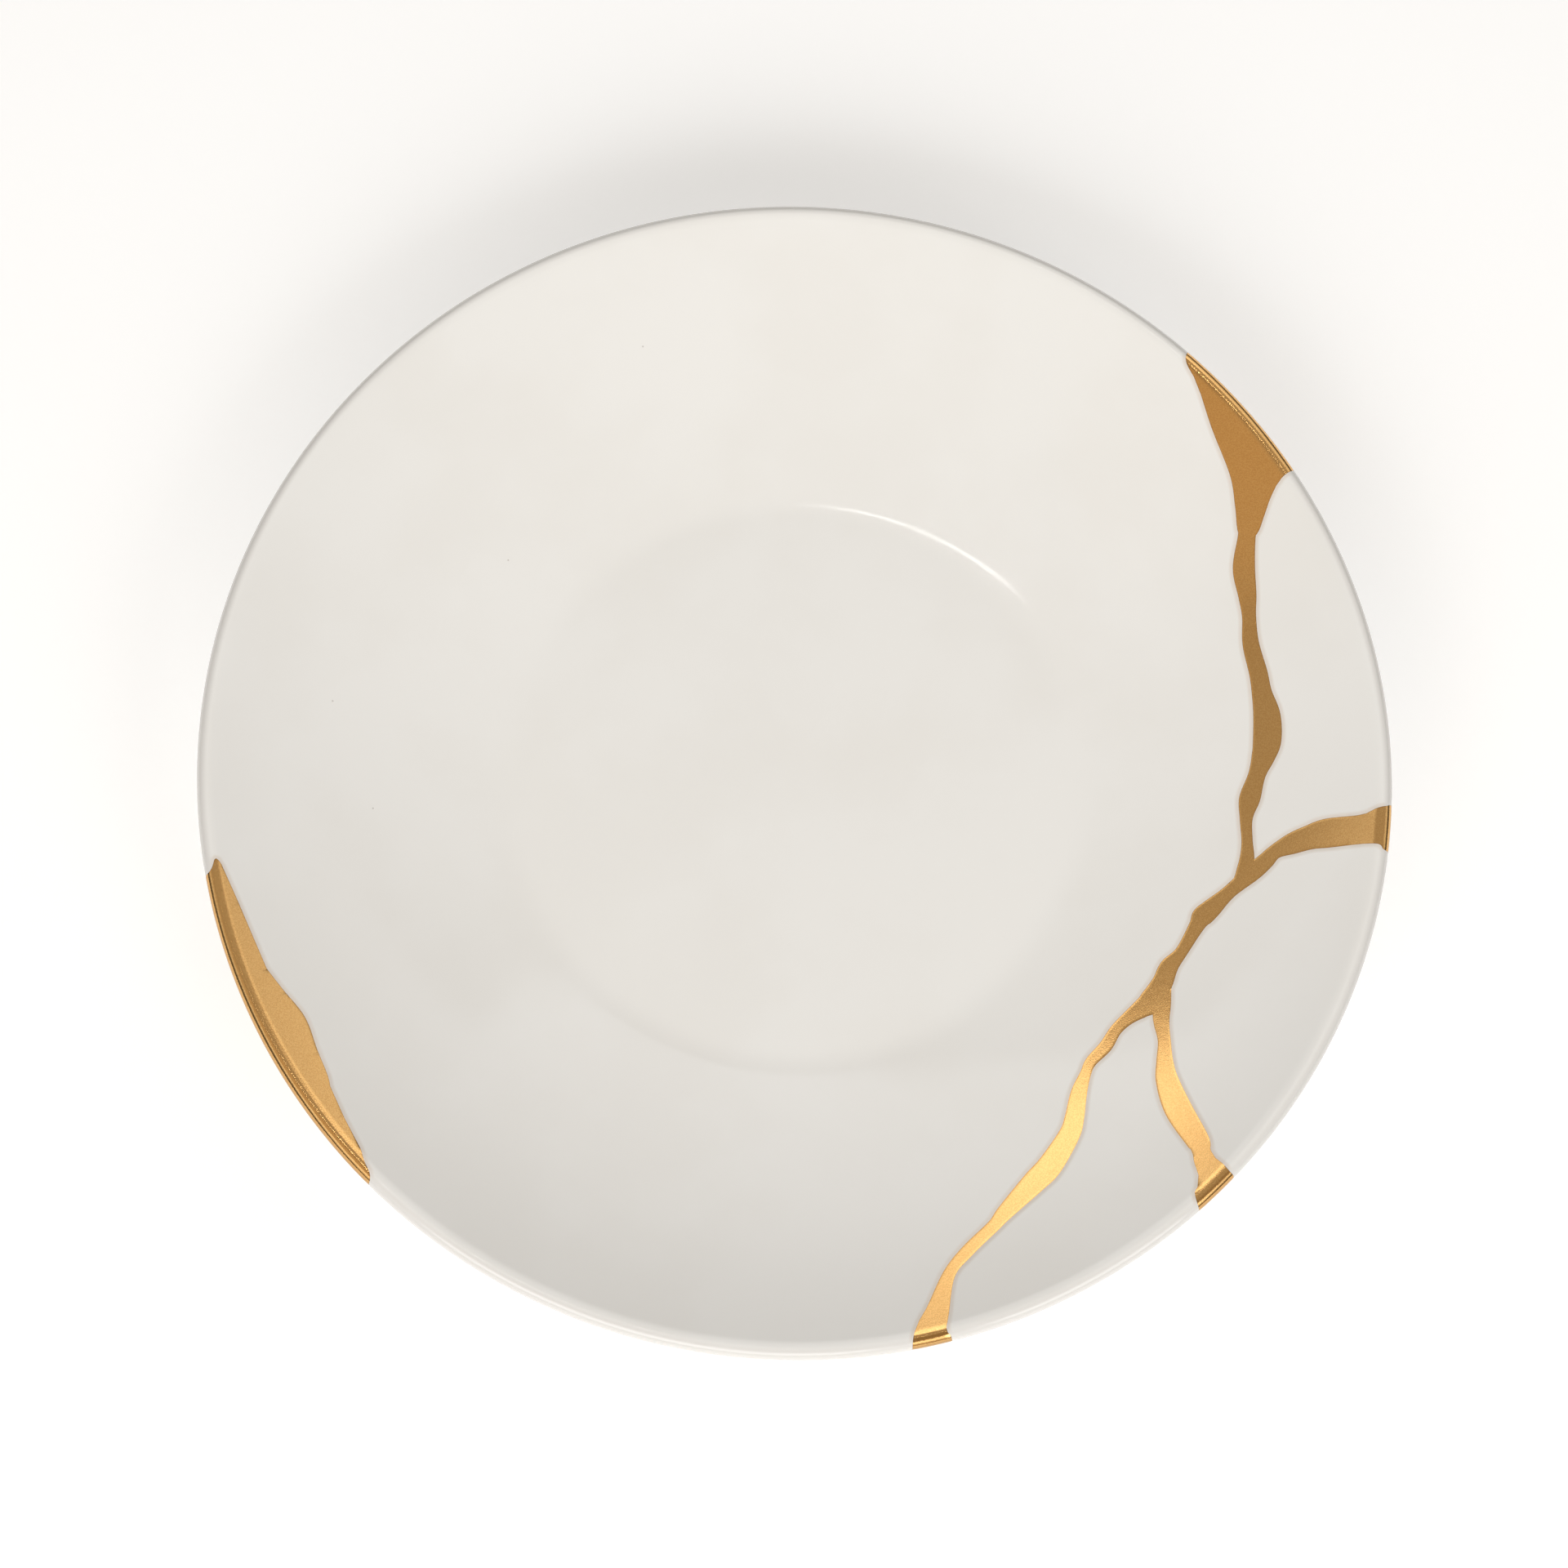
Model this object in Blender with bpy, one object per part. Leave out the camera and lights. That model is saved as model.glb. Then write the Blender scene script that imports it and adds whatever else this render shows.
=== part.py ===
"""Kintsugi salad plate: a coupe plate of glazed porcelain with gold laid flush along its cracks.

Metres, +Z up. The origin is the centre of the circle on which the foot ring stands, and -Y is
the side of the plate that lies nearest to the person who looks at it.
"""
import math

import bmesh
import bpy
from mathutils import Vector

MM = 0.001

# Porcelain
RIM_RADIUS = 105.0 * MM
PLATE_HEIGHT = 25.0 * MM
WALL_THICKNESS = 4.2 * MM
WELL_RADIUS = 50.0 * MM
WELL_EDGE_SLOPE = math.radians(2.5)
BEND_WIDTH = 4.5 * MM
WALL_START_SLOPE = math.radians(11.5)
FLOOR_THICKNESS = 4.0 * MM
UNDERSIDE_HEIGHT = 2.2 * MM
FOOT_RADIUS = 57.0 * MM
FOOT_WIDTH = 4.5 * MM
FOOT_ROUNDING = 1.0 * MM
FOOT_FILLET = 1.2 * MM

# Gold
GOLD_THICKNESS = 0.6 * MM
GOLD_WRAP = 3.0 * MM
BEDDING_GAP = 0.3 * MM

# Fineness of the round shapes
TURN_STEPS = 72
WELL_STEPS = 2
BEND_STEPS = 3
WALL_STEPS = 6
CREST_STEPS = 2
EDGE_STEPS = 4
TURN_UNDER_STEPS = 3
ROUNDING_STEPS = 2
WRAP_STEPS = 2
CRACK_STEPS = 2

# How far the cutting shapes stand clear of what they cut
CUT_MARGIN = 1.0 * MM
MERGE_DISTANCE = 0.01 * MM

# Cracks, each as places along its middle: angle from +X in degrees, distance in from the rim in
# mm, and width in mm. A place with a distance below zero lies outside the rim.
MAIN_CRACK = [
    (-1.6, -6.0, 9.4), (-1.7, 0.2, 8.5), (-1.7, 2.1, 7.0), (-2.0, 4.7, 5.4), (-2.5, 10.5, 5.4),
    (-3.1, 13.6, 4.5), (-3.9, 16.2, 3.9), (-5.0, 18.8, 2.7), (-6.3, 20.2, 3.0), (-7.9, 22.0, 3.2),
    (-10.8, 25.0, 2.5), (-13.5, 27.2, 3.5), (-14.9, 28.2, 3.7), (-16.4, 28.6, 2.7),
    (-20.3, 29.3, 2.2), (-22.9, 30.1, 3.2), (-25.3, 29.8, 3.6), (-28.2, 29.7, 4.4),
    (-30.0, 30.5, 3.4), (-32.1, 31.4, 2.4), (-34.4, 31.8, 2.1), (-37.1, 31.3, 2.3),
    (-40.0, 31.3, 2.0), (-41.7, 30.5, 1.9), (-44.3, 28.7, 2.8), (-46.9, 25.9, 3.3),
    (-48.9, 24.0, 3.6), (-53.1, 21.4, 4.2), (-55.8, 20.3, 4.0), (-60.4, 17.9, 2.8),
    (-62.3, 16.5, 2.2), (-66.0, 14.0, 2.2), (-68.7, 11.1, 2.1), (-71.0, 5.3, 3.9),
    (-71.9, 2.9, 5.0), (-72.2, 0.2, 6.8), (-72.2, -6.3, 7.4),
]
UPPER_CRACK = [
    (34.1, 11.5, 3.4), (32.9, 13.0, 3.1), (30.0, 15.8, 3.8), (26.8, 17.3, 3.1), (24.4, 18.4, 2.4),
    (21.2, 19.7, 2.8), (17.4, 19.9, 3.1), (14.9, 20.1, 3.4), (11.9, 20.0, 4.6), (8.8, 20.5, 4.8),
    (6.8, 21.4, 4.0), (4.6, 22.6, 3.0), (1.6, 23.8, 3.6), (-1.0, 24.2, 2.2), (-3.8, 23.7, 1.9),
    (-5.8, 23.3, 2.4), (-7.6, 23.2, 2.9), (-8.9, 23.5, 2.6), (-10.1, 24.2, 2.0),
]
LOWER_CRACK = [
    (-25.6, 29.7, 3.2), (-28.0, 28.0, 3.2), (-30.1, 26.3, 2.7), (-32.0, 24.0, 2.2),
    (-34.2, 21.7, 2.9), (-35.9, 19.3, 3.9), (-37.8, 14.7, 4.7), (-39.2, 8.8, 4.0),
    (-39.8, 7.1, 3.1), (-40.4, 5.5, 3.5), (-40.7, 3.7, 4.6), (-41.2, 1.8, 6.6),
    (-41.6, -0.1, 9.2), (-41.7, -6.2, 11.0),
]

# Chips out of the rim, each as places along its inner edge: angle in degrees, distance in mm
UPPER_CHIP = [
    (51.9, -7.4), (52.3, 1.1), (49.2, 3.8), (45.0, 7.0), (39.8, 9.6), (36.6, 11.9), (33.9, 13.8),
    (32.3, 13.4), (32.7, 11.0), (33.8, 8.9), (35.2, 6.2), (36.1, 3.6), (36.3, 0.6), (36.0, -6.3),
]
LEFT_CHIP = [
    (198.5, -6.8), (197.8, 0.5), (196.5, 2.5), (198.7, 4.0), (201.5, 4.7), (206.9, 5.4),
    (210.5, 6.8), (214.4, 8.3), (218.1, 7.4), (221.0, 6.5), (223.3, 5.1), (227.8, 3.8),
    (229.8, 2.4), (231.7, 0.3), (231.5, -6.7),
]


# A profile point is a radius, a height and a heading, the direction in which the line runs on.
def arc(start, end_heading, radius, steps):
    """Points that follow start on an arc that turns to end_heading."""
    r, z, heading = start
    bend = math.copysign(radius, end_heading - heading)
    points = []
    for step in range(1, steps + 1):
        at = heading + (end_heading - heading) * step / steps
        points.append((r + bend * (math.sin(at) - math.sin(heading)),
                       z - bend * (math.cos(at) - math.cos(heading)), at))
    return points


def moved_out(points, distance):
    """Profile points moved square to the line, away from the porcelain."""
    return [(r - distance * math.sin(heading), z + distance * math.cos(heading), heading)
            for r, z, heading in points]


def lip_start(slope):
    """Where the wall's top, rising at this slope, runs into the round lip."""
    lip = WALL_THICKNESS / 2
    return (RIM_RADIUS - lip - lip * math.sin(slope), PLATE_HEIGHT - lip + lip * math.cos(slope))


def wall_end_slope(start):
    """Slope at which one arc from start, already rising, reaches the lip."""
    slope = start[2]
    for _ in range(40):
        r, z = lip_start(slope)
        slope = 2 * math.atan2(z - start[1], r - start[0]) - start[2]
    return slope


def upper_face():
    """Top of the plate, from its middle out to the lip, and the radius of the wall's arc."""
    middle = (0.0, UNDERSIDE_HEIGHT + FLOOR_THICKNESS, 0.0)
    well = arc(middle, WELL_EDGE_SLOPE, WELL_RADIUS / math.sin(WELL_EDGE_SLOPE), WELL_STEPS)
    bend_radius = BEND_WIDTH / (math.sin(WALL_START_SLOPE) - math.sin(WELL_EDGE_SLOPE))
    bend = arc(well[-1], WALL_START_SLOPE, bend_radius, BEND_STEPS)
    start = bend[-1]
    slope = wall_end_slope(start)
    wall_radius = (lip_start(slope)[0] - start[0]) / (math.sin(slope) - math.sin(start[2]))
    wall = arc(start, slope, wall_radius, WALL_STEPS)
    return [middle] + well + bend + wall, wall_radius


def lip(wall_end):
    """Round edge that turns the top of the wall over its crest and its widest place."""
    radius = WALL_THICKNESS / 2
    crest = arc(wall_end, 0.0, radius, CREST_STEPS)
    edge = arc(crest[-1], -math.pi / 2, radius, EDGE_STEPS)
    under = arc(edge[-1], wall_end[2] - math.pi, radius, TURN_UNDER_STEPS)
    return crest + edge + under


def foot_ring(wall_height):
    """Foot from its outer side, which starts at wall_height, round to the underside."""
    outer = FOOT_RADIUS + FOOT_WIDTH / 2
    inner = FOOT_RADIUS - FOOT_WIDTH / 2
    down, inward, up = -math.pi / 2, -math.pi, -math.pi * 3 / 2
    side = (outer, wall_height - FOOT_FILLET, down)
    outer_edge = (outer, FOOT_ROUNDING, down)
    inner_edge = (inner + FOOT_ROUNDING, 0.0, inward)
    points = [side, outer_edge]
    points += arc(outer_edge, inward, FOOT_ROUNDING, ROUNDING_STEPS)
    points += [inner_edge]
    points += arc(inner_edge, up, FOOT_ROUNDING, ROUNDING_STEPS)
    points += [(inner - FOOT_FILLET, UNDERSIDE_HEIGHT, inward), (0.0, UNDERSIDE_HEIGHT, inward)]
    return points


def plate_profile():
    """Closed outline of the plate's section, from the middle of its top to that of its foot."""
    top, _ = upper_face()
    outside = moved_out(top, -WALL_THICKNESS)
    foot_edge = FOOT_RADIUS + FOOT_WIDTH / 2 + FOOT_FILLET
    wall = [point for point in outside if point[0] > foot_edge + FOOT_FILLET]
    inner = [point for point in outside if point[0] <= foot_edge + FOOT_FILLET][-1]
    share = (foot_edge - inner[0]) / (wall[0][0] - inner[0])
    join_height = inner[1] + share * (wall[0][1] - inner[1])
    join = (foot_edge, join_height, wall[0][2])
    return top + lip(top[-1]) + wall[-2::-1] + [join] + foot_ring(join_height)


def shell_profile(above, below):
    """Layer that follows the top, the lip and the start of the outside."""
    top, wall_radius = upper_face()
    edge = lip(top[-1])
    outside_radius = wall_radius + WALL_THICKNESS
    wrap = arc(edge[-1], edge[-1][2] - GOLD_WRAP / outside_radius, outside_radius, WRAP_STEPS)
    line = top + edge + wrap
    return moved_out(line, above) + moved_out(line, -below)[::-1]


def place(angle, inset):
    """Point of the plan at an angle in degrees and a distance in mm from the rim."""
    radius = RIM_RADIUS - inset * MM
    turn = math.radians(angle)
    return radius * math.cos(turn), radius * math.sin(turn)


def smooth_line(points, steps):
    """Smooth curve through points, as Catmull and Rom draw it."""
    line = []
    for index in range(len(points) - 1):
        before = points[max(index - 1, 0)]
        start = points[index]
        end = points[index + 1]
        after = points[min(index + 2, len(points) - 1)]
        for step in range(steps):
            t = step / steps
            line.append(0.5 * (2 * start + (end - before) * t
                               + (2 * before - 5 * start + 4 * end - after) * t ** 2
                               + (3 * start - before - 3 * end + after) * t ** 3))
    return line + [points[-1]]


def crack_outline(stations):
    """Outline of a crack in plan, from its places and widths."""
    middle = smooth_line([Vector((*place(angle, inset), width * MM))
                          for angle, inset, width in stations], CRACK_STEPS)
    left = []
    right = []
    for index, station in enumerate(middle):
        ahead = middle[min(index + 1, len(middle) - 1)]
        behind = middle[max(index - 1, 0)]
        along = (ahead.xy - behind.xy).normalized()
        side = Vector((-along.y, along.x)) * station.z / 2
        left.append(station.xy + side)
        right.append(station.xy - side)
    return left + right[::-1]


def chip_outline(edge):
    """Outline of a chip in plan: its inner edge, closed outside the rim."""
    return smooth_line([Vector(place(angle, inset)) for angle, inset in edge], CRACK_STEPS)


def twice_area(outline):
    """Twice the area inside an outline, below zero where it runs clockwise."""
    return sum(a.x * b.y - a.y * b.x for a, b in zip(outline, outline[1:] + outline[:1]))


def widened(outline, distance):
    """Outline moved out by a distance all round."""
    sign = math.copysign(1.0, twice_area(outline))
    moved = []
    for index, point in enumerate(outline):
        into = (point - outline[index - 1]).normalized()
        out_of = (outline[(index + 1) % len(outline)] - point).normalized()
        normal = Vector((into.y + out_of.y, -into.x - out_of.x)).normalized() * sign
        moved.append(point + normal * distance)
    return moved


def new_object(name, mesh, material=None):
    """Object in the scene, which takes a material if it is part of the plate."""
    thing = bpy.data.objects.new(name, mesh)
    bpy.context.scene.collection.objects.link(thing)
    if material:
        mesh.materials.append(material)
    else:
        thing.hide_render = True
        thing.display_type = 'WIRE'
    return thing


def turned(name, profile, material=None):
    """Solid turned about the plate's axis from half of its section."""
    mesh = bpy.data.meshes.new(name)
    edges = [(index, index + 1) for index in range(len(profile) - 1)]
    mesh.from_pydata([(r, 0.0, z) for r, z, _ in profile], edges, [])
    thing = new_object(name, mesh, material)
    screw = thing.modifiers.new("turn", 'SCREW')
    screw.steps = TURN_STEPS
    screw.render_steps = TURN_STEPS
    screw.use_merge_vertices = True
    screw.merge_threshold = MERGE_DISTANCE
    screw.use_smooth_shade = True
    return thing


def prism(name, outline):
    """Upright cutter through the whole height of the plate."""
    bm = bmesh.new()
    base = bm.faces.new([bm.verts.new((point.x, point.y, -CUT_MARGIN)) for point in outline])
    top = bmesh.ops.extrude_face_region(bm, geom=[base])["geom"]
    height = Vector((0.0, 0.0, PLATE_HEIGHT + 2 * CUT_MARGIN))
    corners = [item for item in top if isinstance(item, bmesh.types.BMVert)]
    bmesh.ops.translate(bm, vec=height, verts=corners)
    bmesh.ops.recalc_face_normals(bm, faces=bm.faces)
    mesh = bpy.data.meshes.new(name)
    bm.to_mesh(mesh)
    bm.free()
    return new_object(name, mesh)


def combine(thing, other, operation):
    """Boolean of a thing with another object, kept as a modifier."""
    step = thing.modifiers.new(other.name, 'BOOLEAN')
    step.operation = operation
    step.object = other


def cutter(name, outlines, gap):
    """One prism over several outlines that meet, each widened by the gap."""
    first, *others = [prism(f"{name}_{index}", widened(outline, gap))
                      for index, outline in enumerate(outlines)]
    for other in others:
        combine(first, other, 'UNION')
    return first


def principled(name, colour, roughness, metallic):
    """Plain material with the part's colour and finish."""
    material = bpy.data.materials.new(name)
    material.use_nodes = True
    shader = material.node_tree.nodes["Principled BSDF"]
    shader.inputs["Base Color"].default_value = (*colour, 1.0)
    shader.inputs["Roughness"].default_value = roughness
    shader.inputs["Metallic"].default_value = metallic
    return material


def inlay(name, outlines, gold, porcelain_plate):
    """Gold laid flush in the plate, and the shallow bed that it lies in."""
    leaf = turned(name, shell_profile(0.0, GOLD_THICKNESS), gold)
    combine(leaf, cutter(f"{name}_outline", outlines, 0.0), 'INTERSECT')
    bed = turned(f"{name}_bed", shell_profile(CUT_MARGIN, GOLD_THICKNESS + BEDDING_GAP))
    combine(bed, cutter(f"{name}_bed_outline", outlines, BEDDING_GAP), 'INTERSECT')
    combine(porcelain_plate, bed, 'DIFFERENCE')


def build():
    """The porcelain plate, its gold seams and the gold in its chipped rim."""
    for thing in list(bpy.data.objects):
        bpy.data.objects.remove(thing)
    glaze = principled("porcelain", (0.80, 0.76, 0.70), 0.12, 0.0)
    gold = principled("gold", (0.85, 0.50, 0.185), 0.28, 1.0)
    plate = turned("porcelain_plate", plate_profile(), glaze)
    cracks = [crack_outline(crack) for crack in (MAIN_CRACK, UPPER_CRACK, LOWER_CRACK)]
    inlay("gold_seams", cracks + [chip_outline(UPPER_CHIP)], gold, plate)
    inlay("gold_rim_fill", [chip_outline(LEFT_CHIP)], gold, plate)


build()
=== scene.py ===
"""Kintsugi salad plate: fine surfaces, glaze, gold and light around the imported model."""
import bisect
import math

import bpy
from mathutils import Matrix, Vector
from mathutils.geometry import delaunay_2d_cdt
from mathutils.kdtree import KDTree


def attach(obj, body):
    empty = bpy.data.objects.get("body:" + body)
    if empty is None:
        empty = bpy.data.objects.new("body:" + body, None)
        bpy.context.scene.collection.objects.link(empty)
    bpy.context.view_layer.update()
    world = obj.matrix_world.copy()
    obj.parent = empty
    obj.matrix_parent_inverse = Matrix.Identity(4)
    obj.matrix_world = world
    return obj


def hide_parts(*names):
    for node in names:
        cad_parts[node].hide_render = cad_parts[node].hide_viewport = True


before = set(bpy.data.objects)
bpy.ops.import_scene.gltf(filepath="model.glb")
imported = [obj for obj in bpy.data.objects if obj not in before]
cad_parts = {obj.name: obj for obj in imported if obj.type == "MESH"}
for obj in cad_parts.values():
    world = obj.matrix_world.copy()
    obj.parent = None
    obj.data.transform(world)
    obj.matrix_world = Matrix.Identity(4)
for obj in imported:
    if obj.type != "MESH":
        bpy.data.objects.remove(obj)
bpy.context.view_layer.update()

MM = 0.001

# Porcelain in mm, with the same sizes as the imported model
RIM_RADIUS = 105.0
PLATE_HEIGHT = 25.0
WALL_THICKNESS = 4.2
WELL_RADIUS = 50.0
WELL_EDGE_SLOPE = math.radians(2.5)
BEND_WIDTH = 4.5
WALL_START_SLOPE = math.radians(11.5)
FLOOR_THICKNESS = 4.0
UNDERSIDE_HEIGHT = 2.2
FOOT_RADIUS = 57.0
FOOT_WIDTH = 4.5
FOOT_ROUNDING = 1.0
FOOT_FILLET = 1.2

# Lip, as the photograph shows it: a soft shoulder, then a tighter turn over the crest
LIP_RADIUS = 1.75
SHOULDER_RADIUS = 5.0
SHOULDER_END = math.radians(15.0)

# Gold, in mm: its thickness, the depth of its bed, how far it goes on under the lip, and how far
# the sheet that it is cut from goes on beyond that
GOLD_THICKNESS = 0.6
BED_DEPTH = 0.9
GOLD_WRAP = 3.0
BEYOND_WRAP = 1.0

# Soft edges where the glaze meets the gold, in mm. Faces beyond the reach are shaded even.
GLAZE_DIP = 0.05
GLAZE_DIP_WIDTH = 0.8
GOLD_DIP = 0.035
GOLD_DIP_WIDTH = 0.35
SOFT_REACH = 0.75

# Tiny dark specks in the glaze: distance along X and along Y from the middle, in mm
SPECKS = [(-35.6, 76.8), (-56.0, 35.0), (-74.1, -14.7), (-83.4, 3.5)]

# Colours and pairs of shades
PORCELAIN_SHADES = (0.885, 0.872, 0.842, 1), (0.905, 0.896, 0.871, 1)
# Painted shade: a brownish darkening of the glaze beside the edges of the gold
PAINTED_SHADE_BESIDE_GOLD = (0.66, 0.53, 0.42, 1)
PORCELAIN_SPECK = (0.36, 0.31, 0.27, 1)
# Painted shade over the porcelain's lip
PORCELAIN_LIP_PAINTED_SHADE = (0.735, 0.718, 0.692, 1)
CLAY_SHADES = (0.80, 0.755, 0.68, 1), (0.70, 0.645, 0.565, 1)
GOLD_SHADES = (0.825, 0.465, 0.165, 1), (0.925, 0.555, 0.212, 1)
# Painted shade on the gold: a thin dark line along its edges, and a darker lip
GOLD_PAINTED_SHADE = (0.40, 0.23, 0.10, 1)
FLOOR_SHADES = (0.86, 0.86, 0.86, 1), (0.88, 0.88, 0.88, 1)
ROOM_SHADES = (1.0, 0.82, 0.60, 1), (1.0, 0.93, 0.83, 1)
LAMP_COLOUR = (1.0, 0.995, 0.985, 1)

# Strengths of those tints; all but the specks' are painted shade
PAINTED_SHADE_BESIDE_GOLD_SHARE = 0.40
SPECK_SHARE = 0.45
GOLD_EDGE_PAINTED_SHADE_SHARE = 0.55
GOLD_LIP_PAINTED_SHADE_SHARE = 0.6

# Surfaces: pairs run from the smoothest to the roughest places
GLAZE_ROUGHNESS = (0.075, 0.11)
GLAZE_IOR = 1.5
CLAY_ROUGHNESS = 0.8
GOLD_ROUGHNESS = (0.11, 0.19)

# Where the painted shade beside and along the gold's edges fades: distance from the edge of the
# gold in mm, as the meshes carry it
PAINTED_SHADE_BESIDE_GOLD_REACH = (0.25, 0.95)
GOLD_EDGE_PAINTED_SHADE_REACH = (0.0, 0.16)

# Where colours change, in m: distance from a speck, from the plate's middle where the painted
# shade on the lip starts, and from the floor
SPECK_REACH = (0.00009, 0.00022)
PORCELAIN_LIP_PAINTED_SHADE_START = (0.1029, 0.1041)
GOLD_LIP_PAINTED_SHADE_START = (0.1043, 0.1049)
BARE_HEIGHT = (0.00020, 0.00045)

# Screens behind the plate, each with the place of its top edge's highest point in degrees:
# azimuth from straight behind, and elevation. The middle one ends at an azimuth on the right.
MIDDLE_SCREEN = (10.0, 59.0)
MIDDLE_SCREEN_END = math.radians(27.0)
RIGHT_SCREEN = (45.0, 50.5)
LEFT_SCREEN = (-52.0, 47.6)
SCREEN_SOFTNESS = 0.014
MIDDLE_SCREEN_END_SOFTNESS = 0.02

# Strengths of the light. A pair is low down and high up on the screens, and in front and behind
# in the dim room.
SCREEN_LIGHT = (0.10, 0.67)
DIM_LIGHT = (0.27, 0.41)
FRONT_LIGHT = 1.5
WEST_LIGHT = 0.54
STRIP_LIGHT = 17.0

# Thin bright strip overhead: the way to its middle and the way across it, and where it fades,
# off its line and away from its middle
STRIP_MIDDLE = (-0.094, 0.070, 0.993)
STRIP_ACROSS = (0.243, -0.963, 0.091)
STRIP_THICKNESS = (0.003, 0.009)
STRIP_LENGTH = (0.9943, 0.9962)

# Soft boxes: name, azimuth from the front and elevation in degrees, distance, width and height
# in m, and power in W
SOFTBOXES = [
    ("box_front", -12, 33, 1.5, 1.30, 0.85, 9.4),
    ("box_right", 44, 33, 1.5, 0.55, 0.85, 4.1),
]

# Camera: place in mm, angle below the level, turn about its own line of sight, lens in mm
CAMERA_PLACE = (-1.82, -146.07, 543.83)
CAMERA_TILT = math.radians(74.89)
CAMERA_ROLL = math.radians(5.60)
FOCAL_LENGTH = 70.565
SENSOR_WIDTH = 36.0
NEAREST_SEEN = 0.01

FLOOR_HALF_WIDTH = 4.0

# Fineness: steps of the profile and of the outlines
WELL_STEPS = 32
BEND_STEPS = 10
WALL_STEPS = 34
SHOULDER_STEPS = 5
CREST_STEPS = 4
EDGE_STEPS = 16
TURN_UNDER_STEPS = 10
WRAP_STEPS = 6
BEYOND_WRAP_STEPS = 2
ROUNDING_STEPS = 6
FILLET_STEPS = 6
FLAT_STEPS = 24
OUTLINE_STEPS = 8

# Fineness: points of the sheet, with lengths in mm. A ring's count is a multiple of RING_MULTIPLE,
# and rings are tied from a few before the lip on.
RIM_POINTS = 480
RING_SPACING = 1.6
RING_MULTIPLE = 12
RING_STRETCH = 1.9
RINGS_BEFORE_LIP = 3
EDGE_OFFSETS = (0.12, 0.3, 0.55, 0.85)
GRID_CLEARANCE = 1.1
OFFSET_CLEARANCE = 0.8
EDGE_SAMPLING = 0.08
CUT_TOLERANCE = 1e-5
SHORTEST = 1e-6

# Underside, in mm: the distance from the gold that it is given, how far its first ring keeps from
# the sheet, and how exactly the sheet's last ring is found
FAR_FROM_GOLD = 10.0
FIRST_RING_GAP = 0.5
LAST_RING_TOLERANCE = 0.01

SEARCH_ROUNDS = 40

# Cracks, each as places along its middle: angle from +X in degrees, distance in from the rim in
# mm, and width in mm. A place with a distance below zero lies outside the rim.
MAIN_CRACK = [
    (-1.6, -6.0, 9.4), (-1.7, 0.2, 8.5), (-1.7, 2.1, 7.0), (-2.0, 4.7, 5.4), (-2.5, 10.5, 5.4),
    (-3.1, 13.6, 4.5), (-3.9, 16.2, 3.9), (-5.0, 18.8, 2.7), (-6.3, 20.2, 3.0), (-7.9, 22.0, 3.2),
    (-10.8, 25.0, 2.5), (-13.5, 27.2, 3.5), (-14.9, 28.2, 3.7), (-16.4, 28.6, 2.7),
    (-20.3, 29.3, 2.2), (-22.9, 30.1, 3.2), (-25.3, 29.8, 3.6), (-28.2, 29.7, 4.4),
    (-30.0, 30.5, 3.4), (-32.1, 31.4, 2.4), (-34.4, 31.8, 2.1), (-37.1, 31.3, 2.3),
    (-40.0, 31.3, 2.0), (-41.7, 30.5, 1.9), (-44.3, 28.7, 2.8), (-46.9, 25.9, 3.3),
    (-48.9, 24.0, 3.6), (-53.1, 21.4, 4.2), (-55.8, 20.3, 4.0), (-60.4, 17.9, 2.8),
    (-62.3, 16.5, 2.2), (-66.0, 14.0, 2.2), (-68.7, 11.1, 2.1), (-71.0, 5.3, 3.9),
    (-71.9, 2.9, 5.0), (-72.2, 0.2, 6.8), (-72.2, -6.3, 7.4),
]
UPPER_CRACK = [
    (34.1, 11.5, 3.4), (32.9, 13.0, 3.1), (30.0, 15.8, 3.8), (26.8, 17.3, 3.1), (24.4, 18.4, 2.4),
    (21.2, 19.7, 2.8), (17.4, 19.9, 3.1), (14.9, 20.1, 3.4), (11.9, 20.0, 4.6), (8.8, 20.5, 4.8),
    (6.8, 21.4, 4.0), (4.6, 22.6, 3.0), (1.6, 23.8, 3.6), (-1.0, 24.2, 2.2), (-3.8, 23.7, 1.9),
    (-5.8, 23.3, 2.4), (-7.6, 23.2, 2.9), (-8.9, 23.5, 2.6), (-10.1, 24.2, 2.0),
]
LOWER_CRACK = [
    (-25.6, 29.7, 3.2), (-28.0, 28.0, 3.2), (-30.1, 26.3, 2.7), (-32.0, 24.0, 2.2),
    (-34.2, 21.7, 2.9), (-35.9, 19.3, 3.9), (-37.8, 14.7, 4.7), (-39.2, 8.8, 4.0),
    (-39.8, 7.1, 3.1), (-40.4, 5.5, 3.5), (-40.7, 3.7, 4.6), (-41.2, 1.8, 6.6),
    (-41.6, -0.1, 9.2), (-41.7, -6.2, 11.0),
]

# Chips out of the rim, each as places along its inner edge: angle in degrees, distance in mm
UPPER_CHIP = [
    (51.9, -7.4), (52.3, 1.1), (49.2, 3.8), (45.0, 7.0), (39.8, 9.6), (36.6, 11.9), (33.9, 13.8),
    (32.3, 13.4), (32.7, 11.0), (33.8, 8.9), (35.2, 6.2), (36.1, 3.6), (36.3, 0.6), (36.0, -6.3),
]
LEFT_CHIP = [
    (198.5, -6.8), (197.8, 0.5), (196.5, 2.5), (198.7, 4.0), (201.5, 4.7), (206.9, 5.4),
    (210.5, 6.8), (214.4, 8.3), (218.1, 7.4), (221.0, 6.5), (223.3, 5.1), (227.8, 3.8),
    (229.8, 2.4), (231.7, 0.3), (231.5, -6.7),
]


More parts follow.
